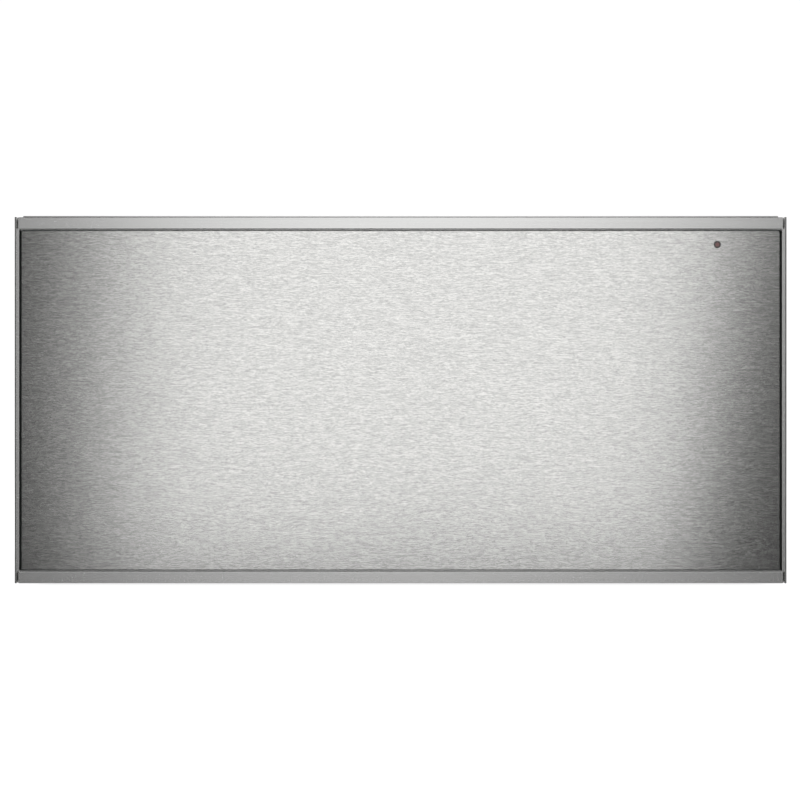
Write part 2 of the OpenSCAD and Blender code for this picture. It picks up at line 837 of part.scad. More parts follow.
// A wall with folds at its foot, head and back, and with beads above and below the runner
module side_panel() {
    x = side_x;
    z = [sheet_t, housing_h - sheet_t];
    bead_y = [cabinet_y + 60, baffle_y - 20];
    bead_z = [runner_z - runner_h / 2 - 30, runner_z + runner_h / 2 + 30];
    translate([x + sheet_t, 0, 0]) rotate([0, 90, 0])
        beaded_sheet([-z[1], -z[0]], [body_y, rear_in], 0, [-bead_z[0], -bead_z[1]], bead_y);
    slab([x - fold, x + e], [body_y, rear_in], [z[0], z[0] + sheet_t]);
    slab([x - fold, x + e], [body_y, rear_in], [z[1] - sheet_t, z[1]]);
    difference() {
        slab([x - fold, x + e], [rear_in - sheet_t, rear_in], z);
        for (hz = rear_screw_z) rod_y(rear_screw_x, hz, screw_hole_d, [rear_in - sheet_t - 1, rear_in + 1]);
    }
}

module right_side_panel() {
    place() color([0.7, 0.71, 0.72]) side_panel();
}

module left_side_panel() {
    place() color([0.7, 0.71, 0.72]) mirror([1, 0, 0]) side_panel();
}

module rear_panel() {
    x = housing_w / 2;
    place() color([0.7, 0.71, 0.72]) difference() {
        slab([-x, x], [rear_in, rear_y], [sheet_t, housing_h - sheet_t]);
        for (i = [-4:4], r = [0:4])
            slot_y(i * 40, housing_h - 70 + r * 10, 24, 4, [rear_in - 1, rear_y + 1]);
        rod_y(grommet_x, grommet_z, grommet_d, [rear_in - 1, rear_y + 1]);
        both() for (z = rear_screw_z) rod_y(rear_screw_x, z, screw_hole_d, [rear_in - 1, rear_y + 1]);
    }
}

// The lid: a flat deck for the appliance above, with beads pressed down into it and air slots
module top_cover() {
    x = housing_w / 2;
    bead_x = [for (i = [0:2], s = [-1, 1]) s * (i + 0.5) * x / 3];
    place() color([0.7, 0.71, 0.72]) difference() {
        beaded_sheet([-x, x], [body_y, rear_y], housing_h, bead_x, [cabinet_y + 40, baffle_y - 30]);
        for (i = [-5:5]) translate([i * 40, rear_in - 40, housing_h - sheet_t - 1])
            linear_extrude(sheet_t + 2) round_area([-12, 12], [-2.5, 2.5], 2.4);
    }
}

// The frame that the closed front meets: a channel bent round the drawer's way
module front_collar() {
    x = collar_side_x;
    w = collar_wall;
    place() color([0.3, 0.31, 0.32]) difference() {
        slab([-x, x], [collar_y, body_y], [collar_low, collar_top]);
        slab([-side_x, side_x], [collar_y - 1, body_y + 1], [sill_z, ceiling_z]);
        slab([-x + w, x - w], [collar_y + w, body_y + 1], [ceiling_z + w, collar_top - w]);
        slab([-x + w, -latch_w], [collar_y + w, body_y + 1], [collar_low + w, sill_z - w]);
        slab([latch_w, x - w], [collar_y + w, body_y + 1], [collar_low + w, sill_z - w]);
        both() slab([side_x + w, x - w], [collar_y + w, body_y + 1], [collar_low + w, collar_top - w]);
        rod_y(0, latch_z, latch_bore_d + 1, [collar_y - 1, body_y + 1]);
    }
}

// An angle on the housing's side: one leg along the side, one behind the collar with the holes
module mounting_flange() {
    mid = (sill_z + ceiling_z) / 2;
    z = [mid - mount_pitch / 2 - 22, mid + mount_pitch / 2 + 22];
    difference() {
        union() {
            slab([flange_x, flange_x + flange_w], [body_y, cabinet_y], z);
            slab([flange_x, flange_x + flange_t], [body_y, body_y + mount_leg], z);
        }
        for (s = [-1, 1])
            rod_y(mount_x, mid + s * mount_pitch / 2, mount_hole_d, [body_y - 1, cabinet_y + 1]);
    }
}

module right_mounting_flange() {
    place() color([0.72, 0.73, 0.74]) mounting_flange();
}

module left_mounting_flange() {
    place() color([0.72, 0.73, 0.74]) mirror([1, 0, 0]) mounting_flange();
}

// A shield over the drawer, folded up at the sides to hang from the top cover
module ceiling_liner() {
    x = side_x - fold - 1;
    place() color([0.78, 0.78, 0.78]) {
        slab([-x, x], [body_y, rear_in - sheet_t], [ceiling_z, ceiling_z + sheet_t]);
        both() slab([x - sheet_t, x], [body_y, rear_in - sheet_t], [ceiling_z, housing_h - sheet_t]);
    }
}

module ceiling_insulation() {
    x = side_x - fold - 1 - sheet_t - slack;
    place() color([0.86, 0.83, 0.74])
        slab([-x, x], [body_y + 4, rear_in - 60],
             [ceiling_z + sheet_t, housing_h - bead_depth - sheet_t - slack]);
}

// ---- Fan compartment -------------------------------------------------------------------------

// The wall in front of the fan: a round field of intake holes and slots where the air comes back
module fan_baffle() {
    x = chassis_x - 4;
    ring_pitch = 11;
    place() color([0.78, 0.78, 0.78]) difference() {
        union() {
            slab([-x, x], [baffle_y, baffle_y + sheet_t], [sheet_t, ceiling_z]);
            slab([-x, x], [baffle_y, baffle_y + fold], [sheet_t, 2 * sheet_t]);
        }
        rod_y(0, fan_z, 7, [baffle_y - 1, baffle_y + sheet_t + 1]);
        for (r = [1:4], k = [0:6 * r - 1]) let (a = k * 60 / r)
            rod_y(r * ring_pitch * cos(a), fan_z + r * ring_pitch * sin(a), 7,
                  [baffle_y - 1, baffle_y + sheet_t + 1]);
        for (s = [-1, 1], i = [0:6])
            slot_y(s * (heater_d / 2 + 90), fan_z - 54 + i * 18, 90, 5,
                   [baffle_y - 1, baffle_y + sheet_t + 1]);
    }
}

// A plate on two folded arms, which carries the motor and the ends of the heater
module fan_bracket() {
    b = bracket_half;
    place() color([0.7, 0.71, 0.72]) difference() {
        union() {
            slab([-b, b], [bracket_y, bracket_y + bracket_t], [fan_z - b, fan_z + b]);
            for (s = [-1, 1]) {
                slab([-b, b], [baffle_y + sheet_t, bracket_y + bracket_t],
                     [fan_z + s * b - bracket_t / 2, fan_z + s * b + bracket_t / 2]);
                slab([-b, b], [baffle_y + sheet_t, baffle_y + sheet_t + bracket_t],
                     [fan_z + s * (b + 6) - 6, fan_z + s * (b + 6) + 6]);
            }
        }
        rod_y(0, fan_z, boss_d, [bracket_y - 1, bracket_y + bracket_t + 1]);
        for (s = [-1, 1]) rod_y(s * heater_leg_x, fan_z - heater_leg_z, heater_bush_d,
                                [bracket_y - 1, bracket_y + bracket_t + 1]);
    }
}

// A ring of sheathed tube round the impeller, open at the bottom, where its legs go back
module ring_heater() {
    start = asin(heater_leg_x / (heater_d / 2));
    place() color([0.3, 0.28, 0.27]) {
        translate([0, heater_y, fan_z]) rotate([90, 0, 0]) rotate([0, 0, -90 + start])
            rotate_extrude(angle = 360 - 2 * start) translate([heater_d / 2, 0]) circle(d = heater_tube_d);
        for (s = [-1, 1]) {
            rod_y(s * heater_leg_x, fan_z - heater_leg_z, heater_tube_d, [heater_y, bracket_y + 14]);
            translate([s * heater_leg_x, heater_y, fan_z - heater_leg_z]) sphere(d = heater_tube_d + 0.8);
            rod_y(s * heater_leg_x, fan_z - heater_leg_z, heater_bush_d, [bracket_y - 3, bracket_y + 5]);
            slab([s * heater_leg_x - 3, s * heater_leg_x + 3], [bracket_y + 13, bracket_y + 21],
                 [fan_z - heater_leg_z - 0.4, fan_z - heater_leg_z + 0.4]);
        }
    }
}

// A shaded-pole motor: bearing cups, a stack of laminations and a coil on its upper leg
module fan_motor() {
    stack = [motor_y + motor_feet, motor_y + motor_feet + stack_t];
    stack_z = [fan_z - stack_h / 2 + 7, fan_z + stack_h / 2 + 7];
    coil_z = [fan_z + cup_d / 2 + 2, fan_z + cup_d / 2 + 2 + coil_h];
    window = coil_half + 1;
    place() color([0.45, 0.46, 0.48]) difference() {
        union() {
            slab([-stack_w / 2, stack_w / 2], stack, stack_z);
            rod_y(0, fan_z, cup_d, [motor_y, stack[1] + 6]);
            rod_y(0, fan_z, boss_d - 2 * run_fit, [bracket_y, motor_y + e]);
            for (s = [-1, 1]) rod_y(s * (stack_w / 2 - 5), fan_z, 8, [motor_y, stack[1] + 2]);
            slab([-coil_half, coil_half], [stack[0] - 4, stack[1] + 4], coil_z);
        }
        rod_y(0, fan_z, fan_shaft_d + 2 * run_fit, [bracket_y - 1, stack[1] + 2]);
        both() slab([window, window + window_w], [stack[0] - 1, stack[1] + 1],
                    [coil_z[0], stack_z[1] - 4]);
    }
}

// Curved blades on a back plate, with a hub and the motor's shaft
module fan_impeller() {
    r = fan_d / 2;
    chord = fan_d * 0.13;
    vent_r = fan_d * 0.27;
    place() color([0.68, 0.69, 0.7]) {
        difference() {
            rod_y(0, fan_z, fan_d, [fan_y + fan_blade_d - 1, fan_y + fan_blade_d]);
            for (i = [0:5]) rod_y(vent_r * cos(i * 60), fan_z + vent_r * sin(i * 60), 8,
                                  [fan_y + fan_blade_d - 2, fan_y + fan_blade_d + 1]);
        }
        rod_y(0, fan_z, hub_d, [fan_y + fan_blade_d - 12, fan_y + fan_blade_d + 3]);
        rod_y(0, fan_z, fan_shaft_d, [fan_y + 4, motor_y + 20]);
        translate([0, fan_y + fan_blade_d - 1 + e, fan_z]) rotate([90, 0, 0])
            linear_extrude(fan_blade_d - 1) for (i = [0:fan_blades - 1]) rotate(i * 360 / fan_blades)
                translate([r - chord / 2 - 1, 0]) blade_arc(chord);
    }
}

// A thin arc, as long as its chord, for one blade
module blade_arc(chord) {
    r = chord * 0.9;
    translate([0, -r * cos(asin(chord / 2 / r))]) intersection() {
        difference() {
            circle(r = r);
            circle(r = r - vane_t);
        }
        translate([-chord / 2, 0]) square([chord, r]);
    }
}

// A disc thermostat whose cap is at y and whose two tabs stand out along dir
module disc_thermostat(x, z, y, dir) {
    cap = dir > 0 ? [y, y + disc_h] : [y - disc_h, y];
    tab = dir > 0 ? [y + disc_h - e, y + disc_h + tab_l] : [y - disc_h - tab_l, y - disc_h + e];
    rod_y(x, z, disc_d, cap);
    for (tx = [x - 5, x + 5])
        slab([tx - tab_w / 2, tx + tab_w / 2], tab, [z - tab_t / 2, z + tab_t / 2]);
}

// The thermostat on the back of the baffle, above the heater, with its two fixing ears
module safety_thermostat() {
    x = heater_d / 2 + 42;
    y = baffle_y + sheet_t;
    z = fan_z + bracket_half + 10;
    place() color([0.2, 0.2, 0.2]) {
        disc_thermostat(x, z, y, 1);
        slab([x - disc_d / 2 - 4, x + disc_d / 2 + 4], [y, y + 1], [z - 4, z + 4]);
    }
}

// An open tray of plastic that stands on the floor sheet
module power_box() {
    place() color([0.2, 0.21, 0.22]) difference() {
        slab(box_x, box_y, [box_z[0], box_z[1] - box_t]);
        slab([box_x[0] + box_t, box_x[1] - box_t], [box_y[0] + box_t, box_y[1] - box_t],
             [box_z[0] + box_t, box_z[1]]);
        for (y = [box_y[0] + 10:9:box_y[0] + 46])
            slab([box_x[0] - 1, box_x[0] + box_t + 1], [y, y + 3],
                 [box_z[0] + 0.35 * box_h, box_z[0] + 0.7 * box_h]);
    }
}

module power_box_cover() {
    place() color([0.2, 0.21, 0.22]) {
        slab(box_x, box_y, [box_z[1] - box_t, box_z[1]]);
        slab([box_x[0] + box_t + slack, box_x[1] - box_t - slack],
             [box_y[0] + box_t + slack, box_y[1] - box_t - slack],
             [box_z[1] - 2 * box_t, box_z[1] - box_t + e]);
    }
}

// The power board on its standoffs, with a transformer, two relays, a capacitor and a connector
module power_board() {
    x = [box_x[0] + 6, box_x[1] - 6];
    y = [box_y[0] + 5, box_y[1] - 5];
    foot = box_z[0] + box_t;
    standoff_h = 6;
    board_t = 1.6;
    top = foot + standoff_h + board_t;
    w = x[1] - x[0];
    d = y[1] - y[0];
    place() color([0.1, 0.35, 0.2]) {
        slab(x, y, [foot + standoff_h, top]);
        for (px = [x[0] + 6, x[1] - 6], py = [y[0] + 6, y[1] - 6])
            rod_z(px, py, 6, [foot, foot + standoff_h + e]);
        slab([x[0] + 0.12 * w, x[0] + 0.39 * w], [y[0] + 0.2 * d, y[0] + 0.8 * d], [top - e, top + 26]);
        for (i = [0, 1])
            slab([x[0] + (0.46 + 0.19 * i) * w, x[0] + (0.61 + 0.19 * i) * w],
                 [y[0] + 0.17 * d, y[0] + 0.45 * d], [top - e, top + 16]);
        rod_z(x[0] + 0.51 * w, y[0] + 0.7 * d, 12, [top - e, top + 20]);
        slab([x[0] + 0.63 * w, x[1] - 0.1 * w], [y[1] - 0.32 * d, y[1] - 0.13 * d], [top - e, top + 12]);
    }
}

module terminal_block() {
    y = [rear_in - 42, rear_in - 20];
    place() color([0.85, 0.85, 0.82]) difference() {
        slab([grommet_x - 27, grommet_x + 27], y, [sheet_t, sheet_t + 18]);
        for (i = [-2:2]) rod_z(grommet_x + i * 10, (y[0] + y[1]) / 2, 5, [sheet_t + 8, sheet_t + 19]);
    }
}

// The rubber grommet where a mains lead goes in, closed by its membrane
module mains_grommet() {
    place() color([0.12, 0.12, 0.12]) {
        rod_y(grommet_x, grommet_z, grommet_d, [rear_in, rear_y]);
        rod_y(grommet_x, grommet_z, grommet_d + 4, [rear_in - 1.5, rear_in]);
        difference() {
            rod_y(grommet_x, grommet_z, grommet_d + 4, [rear_y, rear_y + 1.5]);
            rod_y(grommet_x, grommet_z, grommet_d - 8, [rear_y + 0.5, rear_y + 2]);
        }
    }
}

module housing_screws() {
    place() color([0.55, 0.56, 0.57])
        both() for (z = rear_screw_z) screw_to_front(rear_screw_x, z, rear_y);
}

// ---- Push latch ------------------------------------------------------------------------------

// The tube that guides the plunger, on a foot on the floor sheet
module latch_body() {
    y = [body_y, body_y + latch_l];
    place() color([0.85, 0.85, 0.83]) difference() {
        union() {
            slab([-latch_w / 2, latch_w / 2], y, [sheet_t, sheet_t + latch_h]);
            slab([-latch_w, latch_w], [y[0] + 6, y[0] + 26], [sheet_t, sheet_t + 2.5]);
        }
        rod_y(0, latch_z, latch_bore_d, [y[0] - 1, y[1] - 3]);
    }
}

module latch_plunger() {
    place() color([0.2, 0.2, 0.2]) {
        rod_y(0, latch_z, plunger_d, [plunger_tip + 1, plunger_tip + plunger_l]);
        rod_y(0, latch_z, plunger_d - 1.5, [plunger_tip, plunger_tip + 1 + e]);
    }
}

// The space that the coiled spring fills behind the plunger
module latch_spring() {
    place() color([0.6, 0.6, 0.6]) difference() {
        rod_y(0, latch_z, plunger_d - 1, [plunger_tip + plunger_l, body_y + latch_l - 3]);
        rod_y(0, latch_z, plunger_d - 3, [plunger_tip + plunger_l - 1, body_y + latch_l - 2]);
    }
}

// ---- Nodes -----------------------------------------------------------------------------------

base_pan();
left_side_panel();
right_side_panel();
rear_panel();
top_cover();
front_collar();
left_mounting_flange();
right_mounting_flange();
ceiling_liner();
ceiling_insulation();
fan_baffle();
fan_bracket();
fan_motor();
ring_heater();
safety_thermostat();
power_box();
power_board();
power_box_cover();
terminal_block();
mains_grommet();
latch_body();
latch_spring();
left_runner_outer();
right_runner_outer();
runner_stops();
housing_screws();
front_glass();
front_steel_sheet();
left_side_profile();
right_side_profile();
top_rail();
bottom_rail();
front_carrier();
front_insulation();
indicator_lens();
indicator_bezel();
indicator_board();
front_buffers();
latch_striker();
drawer_chassis();
drawer_liner();
liner_rear_grille();
heated_glass_plate();
heating_mat();
base_insulation();
control_panel();
selector_switch();
limit_thermostat();
left_runner_inner();
right_runner_inner();
drawer_screws();
left_runner_middle();
right_runner_middle();
left_outer_ball_cage();
right_outer_ball_cage();
left_inner_ball_cage();
right_inner_ball_cage();
selector_knob();
fan_impeller();
latch_plunger();
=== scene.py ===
# %% [markdown]
# # A built-in warming drawer
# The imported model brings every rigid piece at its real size: the front with its glass and rails, the
# drawer, its runners, and the housing with the fan behind it. This script gives each of them its
# finish, adds the few pieces whose form is better made as a mesh, and sets up the studio.
#
# The frame comes first, because every later piece reads its place from it. All sizes are metres,
# +X points to the right, +Y to the back and +Z up.

# %% Load the frame
import json
import math

import bmesh
import bpy
from mathutils import Matrix, Vector


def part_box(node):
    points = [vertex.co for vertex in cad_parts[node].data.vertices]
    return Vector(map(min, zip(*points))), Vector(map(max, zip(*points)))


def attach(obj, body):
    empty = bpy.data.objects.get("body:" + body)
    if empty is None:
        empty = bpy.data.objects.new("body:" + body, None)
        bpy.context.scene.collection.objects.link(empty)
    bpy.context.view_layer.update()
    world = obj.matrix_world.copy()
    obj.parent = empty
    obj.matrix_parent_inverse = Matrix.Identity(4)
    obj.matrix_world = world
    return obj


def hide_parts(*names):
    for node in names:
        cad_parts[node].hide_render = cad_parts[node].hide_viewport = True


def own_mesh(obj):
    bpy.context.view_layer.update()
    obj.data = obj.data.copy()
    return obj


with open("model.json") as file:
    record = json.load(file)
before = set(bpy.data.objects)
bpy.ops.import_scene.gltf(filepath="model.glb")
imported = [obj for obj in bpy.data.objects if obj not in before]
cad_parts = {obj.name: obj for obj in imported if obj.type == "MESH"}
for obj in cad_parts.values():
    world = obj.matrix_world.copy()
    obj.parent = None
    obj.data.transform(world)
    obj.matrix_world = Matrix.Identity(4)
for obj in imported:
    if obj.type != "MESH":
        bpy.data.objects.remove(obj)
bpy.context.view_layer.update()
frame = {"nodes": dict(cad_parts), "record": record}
NODES = frame["nodes"]
MM = 0.001

# %% [markdown]
# ## The camera
# The photograph looks straight at the front, with no top, side or floor to be seen. A long lens from
# far away gives that flat view. The lens follows from one fact: the front is a little over 772 pixels
# wide in a picture of 800, so the picture shows a little more than the front itself.

# %% Camera
PICTURE_PX = 800
FRONT_WIDTH_PX = 772.2
FRONT_MIDDLE_PX = (400.6, 400.2)
SENSOR_WIDTH = 36.0
CAMERA_DISTANCE = 2.4

left_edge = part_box("left_side_profile")[0]
right_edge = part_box("right_side_profile")[1]
front_width = right_edge.x - left_edge.x
front_face_y = left_edge.y
front_middle_z = (left_edge.z + right_edge.z) / 2
metres_per_px = front_width / FRONT_WIDTH_PX

camera_data = bpy.data.cameras.new("camera")
camera_data.sensor_width = SENSOR_WIDTH
camera_data.lens = SENSOR_WIDTH * CAMERA_DISTANCE / (metres_per_px * PICTURE_PX)
camera = bpy.data.objects.new("camera", camera_data)
# The camera steps aside by the few tenths of a pixel that the front stands off the picture's middle.
camera.location = (
    (PICTURE_PX / 2 - FRONT_MIDDLE_PX[0]) * metres_per_px,
    front_face_y - CAMERA_DISTANCE,
    front_middle_z - (PICTURE_PX / 2 - FRONT_MIDDLE_PX[1]) * metres_per_px,
)
camera.rotation_euler = (math.radians(90), 0, 0)
bpy.context.scene.collection.objects.link(camera)
bpy.context.scene.camera = camera
bpy.context.scene.view_settings.view_transform = "Standard"
print(f"lens {camera_data.lens:.1f} mm, {metres_per_px * 1000:.3f} mm per pixel")

# %% [markdown]
# ## Shader maths as Python
# A material is a small program. Written with one node call after another it is hard to read, so a
# socket is wrapped in a class that knows plus, minus, times and power. `1 - mask` then adds the Math
# node that it means. Every other node comes from `node`, which sets the node's own settings first and
# its inputs after them.

# %% The socket class
class Wire:
    """A socket in a material, which can be used in Python arithmetic."""

    def __init__(self, tree, socket=None):
        self.tree = tree
        self.socket = socket

    def node(self, kind, settings=None, inputs=None, out=0):
        """Adds a node, sets it up, feeds it and returns one of its outputs."""
        made = self.tree.nodes.new(kind)
        for name, value in (settings or {}).items():
            if name == "stops":
                ramp = made.color_ramp
                while len(ramp.elements) < len(value):
                    ramp.elements.new(1.0)
                for element, (place, grey) in zip(ramp.elements, value):
                    element.position = place
                    element.color = (grey, grey, grey, 1)
            else:
                setattr(made, name, value)
        for name, value in (inputs or {}).items():
            if isinstance(value, Wire):
                self.tree.links.new(value.socket, made.inputs[name])
            else:
                made.inputs[name].default_value = value
        return Wire(self.tree, made.outputs[out])

    def math(self, operation, *values):
        inputs = {i: value for i, value in enumerate(values)}
        return self.node("ShaderNodeMath", {"operation": operation}, inputs)

    def __add__(self, other):
        return self.math("ADD", self, other)

    def __radd__(self, other):
        return self.math("ADD", other, self)

    def __sub__(self, other):
        return self.math("SUBTRACT", self, other)

    def __rsub__(self, other):
        return self.math("SUBTRACT", other, self)

    def __mul__(self, other):
        return self.math("MULTIPLY", self, other)

    def __rmul__(self, other):
        return self.math("MULTIPLY", other, self)

    def __pow__(self, other):
        return self.math("POWER", self, other)

    def rise(self, low, high):
        """0 up to `low`, 1 from `high` on, and a soft slope between them."""
        return self.node("ShaderNodeMapRange", {"interpolation_type": "SMOOTHSTEP"},
                         {0: self, 1: low, 2: high, 3: 0.0, 4: 1.0})

    def place(self, scale=(1, 1, 1)):
        """The point on the object in metres, times `scale`, for patterns to read."""
        coordinates = self.node("ShaderNodeTexCoord", out="Object")
        return self.node("ShaderNodeMapping", inputs={"Vector": coordinates, "Scale": scale})

    def noise(self, scale, detail=2.0, roughness=0.5, stretch=(1, 1, 1), distortion=0.0):
        """Soft noise around 0.5, with `scale` features in a metre."""
        return self.node("ShaderNodeTexNoise", inputs={
            "Vector": self.place(stretch), "Scale": scale, "Detail": detail,
            "Roughness": roughness, "Distortion": distortion})

    def blend(self, factor, first, second):
        """One colour turning into another."""
        return self.node("ShaderNodeMix", {"data_type": "RGBA"},
                         {0: factor, 6: (*first, 1), 7: (*second, 1)}, out=2)

    def bump(self, height, depth, strength=1.0):
        """A normal from a height between 0 and 1 that stands for `depth` metres."""
        return self.node("ShaderNodeBump", inputs={"Height": height, "Distance": depth, "Strength": strength})


print("socket class ready")

# %% [markdown]
# ## From a recipe to a material
# Every finish here is a Principled shader. What varies over the surface comes from a short recipe, a
# function that gets a wire and returns the inputs it has fed. What is the same everywhere is passed
# by name. A recipe can then be read on its own, and two finishes can share one.

# %% The material helper
def finish(name, make, **fixed):
    """A material: `make` wires what varies, and `fixed` sets the shader's own sockets."""
    material = bpy.data.materials.new(name)
    material.use_nodes = True
    tree = material.node_tree
    tree.nodes.clear()
    start = Wire(tree)
    varying = make(start)
    shader = start.node("ShaderNodeBsdfPrincipled", inputs={**fixed, **varying}, out="BSDF")
    output = tree.nodes.new("ShaderNodeOutputMaterial")
    tree.links.new(shader.socket, output.inputs["Surface"])
    print("material", name)
    return material

# %% [markdown]
# ## Brushed steel
# The front's face is the thing to get right. A belt has drawn thousands of short, slightly wavy
# scratches across the sheet, a few millimetres long and far less than one high. Two noises that are
# stretched along X stand for them, fine scratches and longer streaks. They colour the metal a little
# and tilt its normal, which spreads a reflection up and down but hardly sideways. Together with a
# third noise, a slow change over the sheet, they also make it more or less rough.

# %% Brushed face
def brushed_face(wire):
    fine = wire.noise(1.0, detail=2.0, roughness=0.6, stretch=(430, 40, 2400), distortion=0.25)
    streak = wire.noise(1.0, detail=2.0, stretch=(150, 40, 1500), distortion=0.15)
    cloud = wire.noise(9.0, detail=2.0)
    grain = fine * 0.65 + streak * 0.35
    tone = wire.node("ShaderNodeValToRGB", {"stops": [(0.38, 0.0), (0.62, 1.0)]}, {0: grain})
    return {
        "Base Color": wire.blend(tone, (0.46, 0.459, 0.449), (0.75, 0.748, 0.731)),
        "Roughness": 0.115 + 0.05 * grain + 0.02 * cloud,
        "Normal": wire.bump(grain, 0.00003, 0.4),
    }


face_steel = finish("brushed_face_steel", brushed_face,
                    **{"Metallic": 1.0, "Anisotropic": 0.3, "Anisotropic Rotation": 0.25})

# %% [markdown]
# ## Sheet metals
# The housing is galvanised: zinc freezes on it in flat crystals, each with its own grey. A Voronoi
# pattern gives those cells. The pan and the shields inside are stainless with a satin finish, and the
# runners are rolled strip, plated with zinc, with the draw lines running along them.

# %% Galvanised, satin and plated steel
def galvanised(wire):
    spangle = wire.node("ShaderNodeTexVoronoi", {"feature": "F1"},
                        {"Vector": wire.place(), "Scale": 170.0}, out="Color")
    cell = wire.node("ShaderNodeSeparateColor", inputs={0: spangle})
    smear = wire.noise(14.0, detail=4.0)
    speck = wire.noise(900.0, detail=1.0)
    tone = cell * 0.5 + smear * 0.5
    return {
        "Base Color": wire.blend(tone, (0.56, 0.57, 0.58), (0.73, 0.74, 0.745)),
        "Roughness": 0.36 + 0.08 * cell + 0.08 * speck,
        "Normal": wire.bump(smear + speck * 0.15, 0.0003, 0.25),
    }


def satin(wire):
    line = wire.noise(1.0, detail=2.0, stretch=(60, 60, 1100))
    cloud = wire.noise(11.0, detail=3.0)
    return {
        "Base Color": wire.blend(line, (0.68, 0.68, 0.67), (0.84, 0.84, 0.83)),
        "Roughness": 0.38 + 0.12 * line + 0.05 * cloud,
        "Normal": wire.bump(line, 0.00004, 0.4),
    }


def plated(wire):
    line = wire.noise(1.0, detail=2.0, stretch=(1400, 30, 1400))
    stain = wire.noise(35.0, detail=4.0)
    return {
        "Base Color": wire.blend(stain, (0.60, 0.61, 0.63), (0.76, 0.755, 0.73)),
        "Roughness": 0.2 + 0.14 * line + 0.1 * stain,
        "Normal": wire.bump(line, 0.00003, 0.3),
    }


galvanised_sheet = finish("galvanised_sheet", galvanised, Metallic=0.92)
satin_sheet = finish("satin_stainless", satin, **{"Metallic": 1.0, "Anisotropic": 0.4})
plated_strip = finish("plated_strip", plated, Metallic=1.0)

# %% [markdown]
# ## Extruded profiles
# Rails and side profiles are aluminium, pressed through a die, blasted and anodised. The die leaves
# faint lines along the rails, and the blasting leaves a very fine, even grain that hides most of them.

# %% Anodised aluminium
def anodised(wire):
    line = wire.noise(1.0, detail=1.0, stretch=(12, 1800, 1800))
    blast = wire.noise(1500.0, detail=1.0)
    return {
        "Base Color": wire.blend(line * 0.6 + blast * 0.4, (0.70, 0.70, 0.695), (0.82, 0.82, 0.81)),
        "Roughness": 0.23 + 0.06 * blast,
        "Normal": wire.bump(blast, 0.00003, 0.35),
    }


anodised_profile = finish("anodised_profile", anodised, Metallic=1.0)

# %% [markdown]
# ## Plastics, enamel, rubber and wool
# The dark pieces differ less in their colour than in how dull they are: enamel shines a little,
# moulded plastic has a spark-eroded grain, rubber is dull and foam still duller. One recipe with a
# fine grain makes them all. Wool is a mat of fibres, so it has its own, with a stretched noise that
# is bumped far more than the rest.

# %% Quiet materials
def moulded(dark, light, rough=0.5, grain_depth=0.00008):
    def make(wire):
        grain = wire.noise(1300.0, detail=2.0)
        cloud = wire.noise(18.0, detail=3.0)
        return {
            "Base Color": wire.blend(cloud, dark, light),
            "Roughness": rough - 0.05 + 0.12 * grain,
            "Normal": wire.bump(grain, grain_depth, 0.4),
        }
    return make


def woolly(wire):
    fibre = wire.noise(420.0, detail=5.0, roughness=0.7, stretch=(1, 1, 3), distortion=1.5)
    lump = wire.noise(28.0, detail=3.0)
    return {
        "Base Color": wire.blend(fibre * 0.6 + lump * 0.4, (0.52, 0.46, 0.30), (0.88, 0.84, 0.70)),
        "Roughness": 0.9 + 0.05 * lump,
        "Normal": wire.bump(fibre + lump * 0.5, 0.0012, 0.8),
    }


black_plastic = finish("black_plastic", moulded((0.018, 0.018, 0.02), (0.03, 0.03, 0.032)))
ivory_plastic = finish("ivory_plastic", moulded((0.58, 0.56, 0.49), (0.72, 0.70, 0.62), rough=0.4))
collar_enamel = finish("collar_enamel", moulded((0.045, 0.046, 0.05), (0.065, 0.066, 0.07), rough=0.38))
# Near-black foam for the top rail's seal, and as painted shade in the slots beside the pane.
foam_and_painted_shade = finish("black_foam_and_painted_shade", moulded((0.006, 0.006, 0.006), (0.012, 0.012, 0.012), rough=0.9),
              **{"Specular IOR Level": 0.15})
white_ink = finish("white_ink", moulded((0.74, 0.74, 0.72), (0.8, 0.8, 0.78), rough=0.5))
black_rubber = finish("black_rubber", moulded((0.02, 0.02, 0.02), (0.045, 0.044, 0.042), rough=0.75))
silicone_mat = finish("silicone_mat", moulded((0.36, 0.07, 0.035), (0.5, 0.12, 0.06), rough=0.55))
mineral_wool = finish("mineral_wool", woolly)

# %% [markdown]
# ## Glass
# Clear glass over metal is hard on a path tracer, because light that goes through real glass can't
# be aimed at a lamp. A thin pane bends nothing that the eye would notice here, so the pane is a mirror
# that is almost see-through. Its alpha says how much it reflects: 3% straight on, and more at a slant.
# The pane's rim is ground, which makes it dull, and its near-black colour is painted shade along the
# pane's edge. The heated plate is another glass: toughened, printed dark from below, with a fine dotted
# print. The indicator's lens and ring are small and dark red, as long as the light behind them is off.

# %% Glass pane, printed plate and lamp
STRAIGHT_ON = 0.034
PRINT_DOT = 0.24


def thin_glass(wire):
    slant = wire.node("ShaderNodeLayerWeight", inputs={"Blend": 0.5}, out="Facing")
    return {"Alpha": STRAIGHT_ON + (1 - STRAIGHT_ON) * slant ** 5}


def printed_plate(wire):
    dots = wire.node("ShaderNodeTexVoronoi", {"feature": "F1"},
                     {"Vector": wire.place(), "Scale": 330.0, "Randomness": 0.0}, out="Distance")
    dot = wire.math("LESS_THAN", dots, PRINT_DOT)
    cloud = wire.noise(7.0, detail=3.0)
    return {
        "Base Color": wire.blend(dot, (0.02, 0.021, 0.023), (0.11, 0.112, 0.115)),
        "Roughness": 0.07 + 0.05 * cloud,
    }


def red_lens(wire):
    cloud = wire.noise(600.0, detail=2.0)
    return {
        "Base Color": wire.blend(cloud, (0.20, 0.045, 0.035), (0.30, 0.085, 0.07)),
        "Roughness": 0.25 + 0.1 * cloud,
    }


